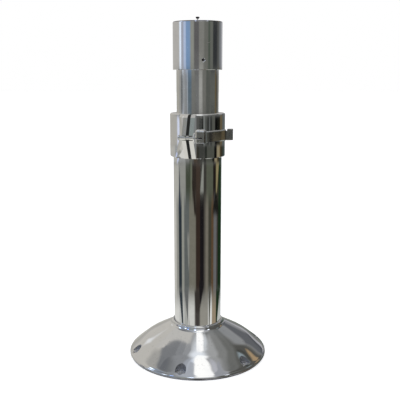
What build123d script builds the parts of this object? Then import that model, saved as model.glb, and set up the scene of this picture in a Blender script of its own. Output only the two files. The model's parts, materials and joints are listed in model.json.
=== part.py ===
from build123d import *
import os
from math import sin, cos, tan, radians, sqrt, pi

os.makedirs("parts", exist_ok=True)

# ---------------------------------------------------------------------------
# Gas lift pedestal, millimetres, +Z up.
# Origin: centre of the base's underside.  -Y is the side that the clamp faces.
# ---------------------------------------------------------------------------

# -- base casting
BASE_R = 112.5            # widest radius of the rim
BASE_FOOT_R = 110.0       # radius of the flat underside
BASE_RIM_Z = 3.1          # height of the widest circle
NECK_TOP = 57.0           # top of the rounded lip round the tube
DOME = [(46.0, 49.7), (54.0, 45.4), (64.0, 39.9), (74.0, 34.3),
        (84.0, 28.4), (94.0, 21.0), (102.0, 14.4), (107.0, 10.2)]
HOLE_COUNT = 6
HOLE_PCD = 208.0
HOLE_R = 3.3
CBORE_R = 8.5
CBORE_FLOOR = 9.2
RECESS = 1.5              # the underside stands on its outer ring only
POCKET_R = 17.5
POCKET_PCR = 68.5
POCKET_Z = 20.0

# -- lower column
TUBE_R = 38.0
TUBE_BORE = 34.0
TUBE_Z0 = 12.0
TUBE_Z1 = 390.5

# -- clamp collar
COLLAR_R = 43.05
COLLAR_Z0 = 328.8
COLLAR_Z1 = 395.7
LIP_BORE = 33.25
SLIT_W = 4.6
CLAMP_AZ = -14.5          # degrees, from the -Y side towards +X
EAR_U = 9.0               # half width of the two ears together
BOLT_V = 57.0             # clamp bolt axis: distance out from the column axis
BOLT_Z = 362.3            # clamp bolt axis: height
RIDGE_R = 4.4             # rounded ridge of the ears round the bolt
RIDGE_U0 = -11.5          # the ridge's left end, where the nut seats
SLOT_Z0 = 333.0           # centre of the round relief at the foot of the tube's slot
SLOT_RELIEF_R = 3.5

# -- clamp lever
PIVOT_U = 19.5            # pivot pin, along the bolt
HUB_R = 8.0
LEVER_Z0 = 355.0
HUB_Z1 = 374.9            # top of the hub
ARM_Z1 = 371.8            # top of the arm
TAB_Z1 = 373.0            # top of the thumb tab
TONGUE_T = 1.5
SLOT_H = 2.0

# -- inner column and head
COLUMN_R = 32.75
COLUMN_BORE = 29.75
COLUMN_Z0 = 150.0
COLUMN_Z1 = 522.9
HEAD_R = 37.9
HEAD_Z0 = 461.4
HEAD_Z1 = 532.9
SCREW_AZ = 13.2
SCREW_Z = 476.0

# -- gas spring
CYL_R = 14.0
CYL_BORE = 12.5
CYL_Z0 = 262.9
ROD_R = 5.0
PISTON_Z0 = 369.0
RUN = 0.07                # radial clearance of a running fit


def cyl(r, z0, z1, x=0.0, y=0.0):
    return Pos(x, y, z0) * Cylinder(r, z1 - z0, align=(Align.CENTER, Align.CENTER, Align.MIN))


def tube(ro, ri, z0, z1):
    return cyl(ro, z0, z1) - cyl(ri, z0 - 1, z1 + 1)


def box(x0, x1, y0, y1, z0, z1):
    return Pos(x0, y0, z0) * Box(x1 - x0, y1 - y0, z1 - z0, align=(Align.MIN, Align.MIN, Align.MIN))


def rodx(r, x0, x1, y, z):
    """cylinder along X from x0 to x1"""
    return Pos(x0, y, z) * Rot(0, 90, 0) * Cylinder(r, x1 - x0, align=(Align.CENTER, Align.CENTER, Align.MIN))


def rody(r, y0, y1, x, z):
    """cylinder along Y from y0 to y1"""
    return Pos(x, y0, z) * Rot(-90, 0, 0) * Cylinder(r, y1 - y0, align=(Align.CENTER, Align.CENTER, Align.MIN))


def spin(shape, az):
    return Rot(0, 0, az) * shape


def ring_profile(points):
    """closed r-z outline turned about Z"""
    wire = Polyline(*[(r, 0, z) for r, z in points], close=True)
    return revolve(make_face(wire), Axis.Z)


def write(shape, name):
    shape.label = name
    export_step(shape, "parts/" + name + ".step")


# ---------------------------------------------------------------------------
# base_flange: one casting, turned dome with a rounded rim and neck lip,
# cored underneath, six spot-faced bolt holes
# ---------------------------------------------------------------------------
with BuildPart() as bf:
    with BuildSketch(Plane.XZ) as sk:
        with BuildLine() as ln:
            l1 = Line((TUBE_R + 0.05, TUBE_Z0), (TUBE_R + 0.05, NECK_TOP - 1.2))
            a1 = ThreePointArc(l1 @ 1, (TUBE_R + 1.7, NECK_TOP), (TUBE_R + 3.6, NECK_TOP - 2.0))
            a2 = ThreePointArc(a1 @ 1, (TUBE_R + 4.7, 52.6), (DOME[0][0], DOME[0][1]))
            s1 = Spline(*DOME, (110.6, 6.6), tangents=[(8.0, -4.2), (1.0, -1.3)])
            a3 = ThreePointArc(s1 @ 1, (BASE_R, BASE_RIM_Z), (111.3, 0.5))
            l2 = Line(a3 @ 1, (BASE_FOOT_R, 0.0))
            l3 = Line(l2 @ 1, (93.0, 0.0))
            l4 = Line(l3 @ 1, (91.5, RECESS))
            l8 = Line(l4 @ 1, (29.0, RECESS))
            l9 = Line(l8 @ 1, (29.0, TUBE_Z0))
            l10 = Line(l9 @ 1, l1 @ 0)
        make_face()
    revolve(axis=Axis.Z)
base = bf.part
for i in range(HOLE_COUNT):
    az = 360.0 / HOLE_COUNT * i
    rho = HOLE_PCD / 2
    cut = cyl(HOLE_R, -1, 40, 0, -rho) + cyl(CBORE_R, CBORE_FLOOR, 40, 0, -rho)
    base = base - spin(cut, az)
# round cored pockets underneath, between the bolt holes
for i in range(HOLE_COUNT):
    az = 360.0 / HOLE_COUNT * (i + 0.5)
    base = base - spin(cyl(POCKET_R, -1, POCKET_Z, 0, -POCKET_PCR), az)
write(spin(base, CLAMP_AZ), "base_flange")

# ---------------------------------------------------------------------------
# lower_column: drawn tube, slotted at the top under the collar's slit
# ---------------------------------------------------------------------------
tube_slot = box(-SLIT_W / 2, SLIT_W / 2, -45, -20, SLOT_Z0, 400.0) + rody(SLOT_RELIEF_R, -45, -20, 0, SLOT_Z0)
lower = tube(TUBE_R, TUBE_BORE, TUBE_Z0, TUBE_Z1) - tube_slot
ring_groove = tube(TUBE_BORE + 1.0, TUBE_BORE - 1.0, 18.0, 19.6)
lower = lower - ring_groove
write(spin(lower, CLAMP_AZ), "lower_column")

# ---------------------------------------------------------------------------
# clamp_collar: split casting with a beaked pair of ears for the clamp bolt
# ---------------------------------------------------------------------------
collar = ring_profile([
    (TUBE_R + 0.02, COLLAR_Z0), (COLLAR_R - 0.9, COLLAR_Z0), (COLLAR_R, COLLAR_Z0 + 0.9),
    (COLLAR_R, COLLAR_Z1 - 1.2), (COLLAR_R - 1.2, COLLAR_Z1), (LIP_BORE + 0.6, COLLAR_Z1),
    (LIP_BORE, COLLAR_Z1 - 0.6), (LIP_BORE, TUBE_Z1 + 0.7), (TUBE_R + 0.02, TUBE_Z1 + 0.7)])


def ear_section(z, v_front, u_flank, v_flank):
    """plan outline of both ears at one height; the left flank slopes back to the ring"""
    pts = [(-EAR_U, -v_front + 1.0), (-SLIT_W / 2, -v_front), (SLIT_W / 2, -v_front), (EAR_U, -v_front + 0.5), (EAR_U, -39.5),
           (-0.94 * u_flank, -0.94 * v_flank), (-u_flank, -v_flank)]
    return make_face(Polyline(*[(x, y, z) for x, y in pts], close=True))


def ear_block(sections):
    return loft([ear_section(*s) for s in sections], ruled=True)


# side outline of the nose: top bevel, upper face leaning out, rounded ridge, lower face leaning in
z_up = BOLT_Z + RIDGE_R * 0.80
v_up = BOLT_V + RIDGE_R * 0.92
z_dn = BOLT_Z - RIDGE_R * 0.86
v_dn = BOLT_V + RIDGE_R * 0.86
FLANK = (18.3, 38.9)
ears = ear_block([(COLLAR_Z1 - 0.1, 46.2, 17.6, 38.6), (391.6, 51.2, *FLANK)])
ears += ear_block([(391.6, 51.2, *FLANK), (z_up, v_up, *FLANK)])
ears += ear_block([(z_up, v_up, *FLANK), (z_dn, v_dn, *FLANK)])
ears += ear_block([(z_dn, v_dn, *FLANK), (COLLAR_Z0 + 0.4, 45.2, 29.5, 31.2)])
ears += rodx(RIDGE_R, RIDGE_U0, EAR_U, -BOLT_V, BOLT_Z)
ears = ears - cyl(TUBE_R + 1.5, 300, 420)
collar = collar + ears
collar = collar - rodx(3.25, -30, 30, -BOLT_V, BOLT_Z)
collar = collar - rodx(6.2, -40, RIDGE_U0, -BOLT_V, BOLT_Z)
collar = collar - box(-SLIT_W / 2, SLIT_W / 2, -80, -20, 300, 420)
write(spin(collar, CLAMP_AZ), "clamp_collar")

# guide_bush: split plastic sleeve that centres the column in the tube
bush = tube(TUBE_BORE - 0.01, COLUMN_R + RUN, 318.0, 389.5) + tube(TUBE_R - 0.4, COLUMN_R + RUN, 390.5, 391.2) \
    + tube(TUBE_BORE - 0.01, COLUMN_R + RUN, 389.0, 391.2)
bush = bush - box(-0.9, 0.9, 20, 45, 300, 420)
write(spin(bush, CLAMP_AZ), "guide_bush")

# clamp_bolt: eye bolt, round shank with a flat tongue and an eye for the lever's pin
bolt = rodx(3.0, -14.4, 9.6, -BOLT_V, BOLT_Z)
bolt += box(7.0, PIVOT_U, -BOLT_V - 2.5, -BOLT_V + 2.5, BOLT_Z - TONGUE_T / 2, BOLT_Z + TONGUE_T / 2)
bolt += cyl(4.5, BOLT_Z - TONGUE_T / 2, BOLT_Z + TONGUE_T / 2, PIVOT_U, -BOLT_V)
bolt = bolt - cyl(2.0, BOLT_Z - 5, BOLT_Z + 5, PIVOT_U, -BOLT_V)
write(spin(bolt, CLAMP_AZ), "clamp_bolt")

# clamp_nut: domed nut seated in the left ear's spot face
nut_face = make_face(Polyline((-11.5, 0, 3.03), (-11.5, 0, 4.4), (-13.3, 0, 4.4), (-14.4, 0, 4.0), (-15.3, 0, 3.1),
                              (-15.8, 0, 1.8), (-16.0, 0, 0.0), (-14.5, 0, 0.0), (-14.5, 0, 3.03), close=True))
nut = revolve(nut_face, Axis.X)
nut = Pos(0, -BOLT_V, BOLT_Z) * nut
write(spin(nut, CLAMP_AZ), "clamp_nut")

# saddle_washer: the lever's cam bears on it
sw_face = make_face(Polyline((EAR_U, 0, 3.3), (EAR_U, 0, 6.9), (EAR_U + 0.9, 0, 7.9), (EAR_U + 2.2, 0, 7.9),
                             (EAR_U + 2.2, 0, 3.3), close=True))
sw = Pos(0, -BOLT_V, BOLT_Z) * revolve(sw_face, Axis.X)
write(spin(sw, CLAMP_AZ), "saddle_washer")

# lever_pivot_pin: pressed in the bolt's eye, the lever's fork turns on it
pin = cyl(2.0, LEVER_Z0 + 1.2, HUB_Z1 - 1.2, PIVOT_U, -BOLT_V)
write(spin(pin, CLAMP_AZ), "lever_pivot_pin")

# ---------------------------------------------------------------------------
# clamp_lever: cast cam lever, fork hub, curved arm round the collar, flared thumb tab
# ---------------------------------------------------------------------------
HUB_FRONT = BOLT_V + 6.5
HALF = sqrt(HUB_R ** 2 - 6.5 ** 2)
with BuildSketch() as hub_sk:
    with BuildLine():
        h1 = Polyline((PIVOT_U - HALF, -HUB_FRONT), (26.3, -HUB_FRONT), (28.0, -HUB_FRONT + 2.7), (28.2, -BOLT_V + 1.0),
                      (PIVOT_U + HALF, -BOLT_V + 6.5))
        h2 = ThreePointArc(h1 @ 1, (PIVOT_U - HUB_R, -BOLT_V), h1 @ 0)
    make_face()
# arm outline in world azimuth, turned back into the clamp's frame
ca, sa = cos(radians(-CLAMP_AZ)), sin(radians(-CLAMP_AZ))


def w(x, y):
    return (x * ca - y * sa, x * sa + y * ca)


with BuildSketch() as arm_sk:
    with BuildLine():
        o1 = Spline(w(9.5, -58.9), w(19.5, -51.7), w(29.0, -42.3), w(36.3, -33.7), w(41.2, -26.6))
        o2 = Spline(o1 @ 1, w(44.0, -23.9), w(47.0, -22.6), tangents=[o1 % 1, (w(50.0, -22.0)[0] - w(47.0, -22.6)[0], w(50.0, -22.0)[1] - w(47.0, -22.6)[1])])
        o3 = Line(o2 @ 1, w(47.0, -19.0))
        o4 = Spline(o3 @ 1, w(43.0, -19.6), w(38.9, -22.0), w(37.3, -24.2))
        o5 = Spline(o4 @ 1, w(32.4, -31.0), w(25.2, -39.4), w(16.3, -48.0), w(8.5, -53.2))
        o6 = Line(o5 @ 1, o1 @ 0)
    make_face()
with BuildSketch() as tab_sk:
    with BuildLine():
        t1 = Line(w(45.2, -23.5), w(48.6, -22.6))
        t2 = Line(t1 @ 1, w(54.4, -21.6))
        t3 = Line(t2 @ 1, w(54.7, -18.2))
        t4 = Line(t3 @ 1, w(45.2, -19.1))
        t5 = Line(t4 @ 1, t1 @ 0)
    make_face()


def bevelled(sketch, z1, top, bottom):
    """extrude a plan outline up to z1 and bevel its top and bottom edges"""
    body = Pos(0, 0, LEVER_Z0) * extrude(sketch, amount=z1 - LEVER_Z0, dir=(0, 0, 1))
    for size, pick in ((top, -1), (bottom, 0)):
        rim = body.faces().sort_by(Axis.Z)[pick].outer_wire().edges()
        for k in (1.0, 0.8, 0.6, 0.4):
            try:
                body = chamfer(rim, size * k)
                print("bevel", size * k)
                break
            except Exception:
                continue
    return body


def rounded_hub():
    """hub with a small bevel underneath and a broad rounded top"""
    body = Pos(0, 0, LEVER_Z0) * extrude(hub_sk.sketch, amount=HUB_Z1 - LEVER_Z0, dir=(0, 0, 1))
    body = chamfer(body.faces().sort_by(Axis.Z)[0].outer_wire().edges(), 1.2)
    rim = body.faces().sort_by(Axis.Z)[-1].outer_wire().edges()
    for r in (3.4, 3.0, 2.6, 2.2, 1.8):
        try:
            body = fillet(rim, r)
            print("hub round", r)
            return body
        except Exception:
            continue
    for r in (3.0, 2.4, 1.8):
        try:
            body = chamfer(rim, r)
            print("hub bevel", r)
            break
        except Exception:
            continue
    return body


lever = rounded_hub() + bevelled(arm_sk.sketch, ARM_Z1, 1.2, 1.2) + bevelled(tab_sk.sketch, TAB_Z1, 0.7, 0.7)
# neck between the arm and the tab, open at the top
notch = Pos(*w(44.3, -26.5), 0) * Rot(0, 0, 14.5) * box(-0.9, 0.9, 0, 10, TAB_Z1 - 3.4, TAB_Z1 + 5)
lever = lever - notch
slot = box(0, PIVOT_U + 2.9, -BOLT_V - 12, -BOLT_V + 2.9, BOLT_Z - SLOT_H / 2, BOLT_Z + SLOT_H / 2)
slot += cyl(4.9, BOLT_Z - SLOT_H / 2, BOLT_Z + SLOT_H / 2, PIVOT_U, -BOLT_V)
slot += rody(1.5, -HUB_FRONT - 5, -HUB_FRONT + 3.2, PIVOT_U + 1.4, BOLT_Z)
lever = lever - slot - cyl(2.0 + RUN, 300, 400, PIVOT_U, -BOLT_V)
write(spin(lever, CLAMP_AZ), "clamp_lever")

# ---------------------------------------------------------------------------
# foot of the gas spring, inside the tube
# ---------------------------------------------------------------------------
anchor = tube(TUBE_BORE - 0.05, ROD_R + RUN, TUBE_Z0, 18.0)
for i in range(3):
    anchor = anchor - spin(cyl(6.0, 10, 20, 0, -20.0), 120 * i)
write(anchor, "anchor_plate")

clip = tube(TUBE_BORE + 0.9, 30.5, 18.05, 19.5)
clip = clip - box(-6.0, 6.0, -40, -25, 17, 21)
write(clip, "anchor_circlip")

write(tube(13.0, 6.0, 18.0, 20.0), "thrust_race_lower")
cage = tube(12.6, 6.4, 21.3, 22.7)
balls = []
BALL_PCR = 9.5
for i in range(10):
    a = radians(36 * i)
    bx, by = BALL_PCR * cos(a), BALL_PCR * sin(a)
    cage = cage - cyl(2.05, 20, 24, bx, by)
    balls.append(Pos(bx, by, 22.0) * Sphere(1.95))
write(cage, "ball_cage")
write(Compound(children=balls), "thrust_balls")
write(tube(13.0, ROD_R + 0.4, 24.0, 26.0), "thrust_race_upper")

rod = cyl(ROD_R, 6.0, PISTON_Z0) + cyl(8.0, 26.0, 31.0) + cyl(3.0, PISTON_Z0, PISTON_Z0 + 20)
rod = rod - tube(ROD_R + 1, ROD_R - 0.9, 10.4, 11.6)
write(rod, "gas_rod")
rclip = tube(8.2, ROD_R - 0.85, 10.5, 11.5) - box(-3.0, 3.0, -12, -2, 9, 13)
write(rclip, "rod_circlip")

piston = tube(CYL_BORE - 0.3, 3.05, PISTON_Z0, PISTON_Z0 + 14) - tube(20, CYL_BORE - 1.9, PISTON_Z0 + 5, PISTON_Z0 + 9)
write(piston, "gas_piston")
write(tube(CYL_BORE - 0.05, CYL_BORE - 1.85, PISTON_Z0 + 5.1, PISTON_Z0 + 8.9), "piston_seal")
hexn = extrude(RegularPolygon(5.8, 6), amount=4.0, dir=(0, 0, 1))
write(Pos(0, 0, PISTON_Z0 + 14) * hexn - cyl(3.03, 370, 400), "piston_nut")

# ---------------------------------------------------------------------------
# gas cylinder, hung from the head
# ---------------------------------------------------------------------------
gcyl = tube(CYL_R, CYL_BORE, CYL_Z0, 519.0)
gcyl += tube(CYL_BORE + 0.2, 9.5, CYL_Z0, CYL_Z0 + 1.6)
write(gcyl, "gas_cylinder")
write(tube(CYL_BORE - 0.05, ROD_R + RUN, CYL_Z0 + 1.6, CYL_Z0 + 13.6), "rod_guide")
write(tube(CYL_BORE - 0.05, ROD_R + 0.05, CYL_Z0 + 13.6, CYL_Z0 + 18.6), "rod_seal")
valve = cyl(CYL_BORE - 0.05, 500.0, 519.0) + cyl(CYL_R, 519.0, COLUMN_Z1) + cyl(9.0, COLUMN_Z1, 533.3)
valve = valve - cyl(2.0 + RUN, 504.5, 540)
write(valve, "valve_body")
lock = extrude(RegularPolygon(12.6, 6), amount=3.4, dir=(0, 0, 1))
write(Pos(0, 0, 530.0) * lock - cyl(9.03, 520, 540), "valve_lock_nut")

# release_pin: mushroom-headed valve pin
pin_prof = [(0, 508.0), (2.0, 508.0), (2.0, 532.6), (1.0, 533.8), (1.0, 537.0), (1.9, 537.4), (2.7, 538.3), (2.9, 539.2),
            (2.7, 539.9), (2.0, 540.2), (0, 540.3)]
write(ring_profile(pin_prof), "release_pin")

# ---------------------------------------------------------------------------
# inner column, guide ring at its foot, head with three set screws
# ---------------------------------------------------------------------------
column = tube(COLUMN_R, COLUMN_BORE, COLUMN_Z0, COLUMN_Z1)
column = column - tube(COLUMN_R + 2, 31.2, 152.5, 154.0) - tube(COLUMN_R + 2, 31.2, 170.0, 171.5)
for i in range(3):
    column = column - spin(rody(1.6, -40, -26, 0, SCREW_Z), SCREW_AZ + 120 * i)
write(column, "inner_column")
write(tube(TUBE_BORE - RUN, COLUMN_R + 0.02, 154.5, 169.5), "guide_ring")
gclips = []
for z0 in (152.6, 170.1):
    c = tube(33.5, 31.3, z0, z0 + 1.3) - spin(box(-5, 5, -40, -25, z0 - 1, z0 + 3), 180)
    gclips.append(c)
write(Compound(children=gclips), "guide_circlips")

head = ring_profile([
    (COLUMN_R + 0.03, HEAD_Z0 + 0.8), (COLUMN_R + 0.8, HEAD_Z0), (HEAD_R - 0.5, HEAD_Z0), (HEAD_R, HEAD_Z0 + 0.5),
    (HEAD_R, HEAD_Z1 - 1.6), (HEAD_R - 0.45, HEAD_Z1 - 0.5), (HEAD_R - 1.6, HEAD_Z1), (14.2, HEAD_Z1), (14.2, 530.0),
    (9.05, 530.0), (9.05, COLUMN_Z1), (COLUMN_R + 0.03, COLUMN_Z1)])
screws = []
for i in range(3):
    hole = rody(2.1, -45, -30, 0, SCREW_Z)
    csk = Pos(0, -HEAD_R - 0.05, SCREW_Z) * Rot(90, 0, 0) * Cone(2.0, 2.9, 1.0, align=(Align.CENTER, Align.CENTER, Align.MAX))
    head = head - spin(hole + csk, SCREW_AZ + 120 * i)
    s = rody(2.05, -36.4, -32.9, 0, SCREW_Z) + rody(1.5, -33.0, -30.6, 0, SCREW_Z)
    sock = Pos(0, -36.5, SCREW_Z) * Rot(-90, 0, 0) * extrude(RegularPolygon(1.15, 6), amount=1.9, dir=(0, 0, 1))
    s = s - sock
    screws.append(spin(s, SCREW_AZ + 120 * i))
write(head, "head_cap")
write(Compound(children=screws), "set_screws")
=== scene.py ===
import bpy
import bmesh
import json
import math
from math import sin, cos, pi, radians, hypot, atan2
from mathutils import Vector, Matrix


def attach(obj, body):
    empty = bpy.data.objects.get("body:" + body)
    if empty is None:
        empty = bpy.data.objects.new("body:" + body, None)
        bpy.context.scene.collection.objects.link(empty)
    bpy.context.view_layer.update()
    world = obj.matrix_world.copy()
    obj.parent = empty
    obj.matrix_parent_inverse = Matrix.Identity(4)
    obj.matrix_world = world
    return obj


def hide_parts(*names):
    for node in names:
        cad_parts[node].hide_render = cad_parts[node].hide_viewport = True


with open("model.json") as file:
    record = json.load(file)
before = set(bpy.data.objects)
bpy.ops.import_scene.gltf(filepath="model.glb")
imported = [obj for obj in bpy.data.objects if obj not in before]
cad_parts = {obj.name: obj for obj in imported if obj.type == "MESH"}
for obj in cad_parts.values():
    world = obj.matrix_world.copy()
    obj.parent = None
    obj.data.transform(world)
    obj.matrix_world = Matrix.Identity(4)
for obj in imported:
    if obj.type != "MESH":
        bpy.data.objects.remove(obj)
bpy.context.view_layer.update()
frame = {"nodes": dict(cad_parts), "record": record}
nodes = frame["nodes"]
scene = bpy.context.scene


# ---------------------------------------------------------------------------
# small node-graph helper
# ---------------------------------------------------------------------------
class Graph:
    def __init__(self, tree):
        self.t = tree
        tree.nodes.clear()

    def add(self, kind, **props):
        n = self.t.nodes.new(kind)
        for k, v in props.items():
            setattr(n, k, v)
        return n

    def put(self, socket, value):
        if isinstance(value, bpy.types.NodeSocket):
            self.t.links.new(value, socket)
        elif value is not None:
            socket.default_value = value

    def math(self, op, a, b=None, c=None, clamp=False):
        n = self.add("ShaderNodeMath", operation=op)
        n.use_clamp = clamp
        for i, v in enumerate((a, b, c)):
            if v is not None:
                self.put(n.inputs[i], v)
        return n.outputs[0]

    def remap(self, v, a0, a1, b0, b1, kind="SMOOTHSTEP"):
        n = self.add("ShaderNodeMapRange", interpolation_type=kind)
        n.clamp = True
        for i, x in enumerate((v, a0, a1, b0, b1)):
            self.put(n.inputs[i], x)
        return n.outputs[0]

    def mix(self, f, a, b):
        n = self.add("ShaderNodeMix", data_type="RGBA")
        self.put(n.inputs[0], f)
        self.put(n.inputs[6], a)
        self.put(n.inputs[7], b)
        return n.outputs[2]

    def noise(self, vec, scale, detail=2.0, rough=0.5, dist=0.0):
        n = self.add("ShaderNodeTexNoise")
        self.put(n.inputs["Vector"], vec)
        n.inputs["Scale"].default_value = scale
        n.inputs["Detail"].default_value = detail
        n.inputs["Roughness"].default_value = rough
        n.inputs["Distortion"].default_value = dist
        return n.outputs["Fac"]

    def combine(self, x, y, z):
        n = self.add("ShaderNodeCombineXYZ")
        self.put(n.inputs[0], x)
        self.put(n.inputs[1], y)
        self.put(n.inputs[2], z)
        return n.outputs[0]


def rgba(c):
    return (c[0], c[1], c[2], 1.0)


# ---------------------------------------------------------------------------
# studio: soft light panels and dark flags round the object, seen only by
# reflections and by diffuse light; the camera sees a plain white sweep
# ---------------------------------------------------------------------------
# The levels are screen levels (0-255) as the panel shows in bright metal.
# Large surfaces: name, azimuth from, to, edge softness (degrees, 0 = the camera's side, + = right),
# height from, to, edge softness (degrees over the horizon), level, strength of the cover
PANELS = [
    ("surround", -190, 190, 4, 5, 95, 3, (150, 151, 152), 1.0),
    # left: a pale wall with a darker opening above it
    ("wall_left", -186, -80, 14, -6, 48.5, 5, (188, 185, 179), 1.0),
    ("wall_left_fade", -122, -80, 14, 36, 49, 8, (154, 153, 150), 0.8),
    ("wall_left_up", -186, -127.0, 2, 40, 77, 5, (187, 185, 181), 1.0),
    ("opening_left", -127.0, -52, 3, 48.5, 80, 5, (137, 139, 142), 1.0),
    ("opening_left_low", -127.0, -70, 3, 48.5, 62, 9, (116, 118, 120), 1.0),
    ("opening_left_core", -104, -80, 10, 50, 58, 6, (105, 107, 111), 1.0),
    ("gleam_left", -147, -139, 4, 18, 27, 6, (220, 221, 222), 1.0),
    # the pale floor close by
    ("floor_near", -190, 190, 4, -95, -36, 8, (206, 205, 199), 1.0),
    # front, low to high
    ("front_left_low", -92, -30, 12, 5, 46, 8, (132, 142, 156), 1.0),
    ("front_left", -56, -40, 14, 56, 80, 8, (158, 162, 170), 1.0),
    ("front_left_up", -40, -14, 14, 58, 82, 8, (192, 199, 211), 1.0),
    ("front", -30, 34, 20, 20, 52, 10, (172, 174, 178), 1.0),
    ("clamp_front_left", -66, -32, 6, 26, 46, 6, (138, 139, 136), 1.0),
    ("clamp_front_right", -32, -6, 6, 26, 46, 6, (130, 138, 137), 1.0),
    # right: dark low down, paler with height
    ("right_low", 34, 136, 12, 5, 50, 6, (80, 80, 77), 1.0),
    ("right_b", 74, 136, 14, 47, 60, 9, (103, 104, 102), 1.0),
    ("right_c", 70, 134, 14, 58, 70, 8, (124, 125, 124), 1.0),
    ("right_d", 72, 134, 12, 68.5, 79, 6, (156, 157, 158), 1.0),
    ("right_high", 50, 70, 14, 52, 74, 10, (176, 177, 184), 1.0),
    ("right_glow", 66, 84, 14, 62, 74, 8, (150, 151, 152), 1.0),
    ("far_right", 134, 166, 6, 46, 74, 8, (106, 108, 108), 1.0),
    ("far_right_mid", 136, 150, 6, 28, 47, 6, (134, 136, 138), 1.0),
    ("back_right", 137, 160, 5, -6, 27, 6, (93, 95, 99), 1.0),
    ("back_right_low", 137, 158, 6, -6, 9, 6, (77, 79, 84), 1.0),
    ("edge_right", 157, 184, 5, -8, 38, 8, (134, 135, 137), 1.0),
    # overhead
    ("zenith", -190, 190, 4, 81.5, 93, 9, (222, 227, 234), 1.0),
    ("zenith_light", -26, 80, 26, 78, 93, 6, (252, 253, 254), 1.0),
    ("ceiling_light", -19, 48, 10, 50, 84, 8, (255, 255, 254), 1.0),
    ("back_light", 139, 190, 5, 76.5, 84, 4, (255, 255, 255), 1.0),
    ("back_glow", 131, 141, 5, 74, 80, 4, (196, 200, 205), 1.0),
    # small bright and warm things
    ("window", 106, 116.5, 4, 35, 44, 5, (136, 148, 154), 1.0),
    ("gap_right", 117, 122, 2, 30, 44, 5, (68, 69, 66), 1.0),
    ("door", 119, 128, 3, 19, 31, 4, (160, 138, 108), 1.0),
    ("lamp_a", -94, -84, 4, 26, 36, 5, (330, 360, 410), 1.0),
    ("lamp_b", -60, -52, 4, 19, 28, 4, (360, 375, 400), 1.0),
    ("lamp_e", -50, -43, 3, 31, 40, 4, (230, 280, 390), 1.0),
]

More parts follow.
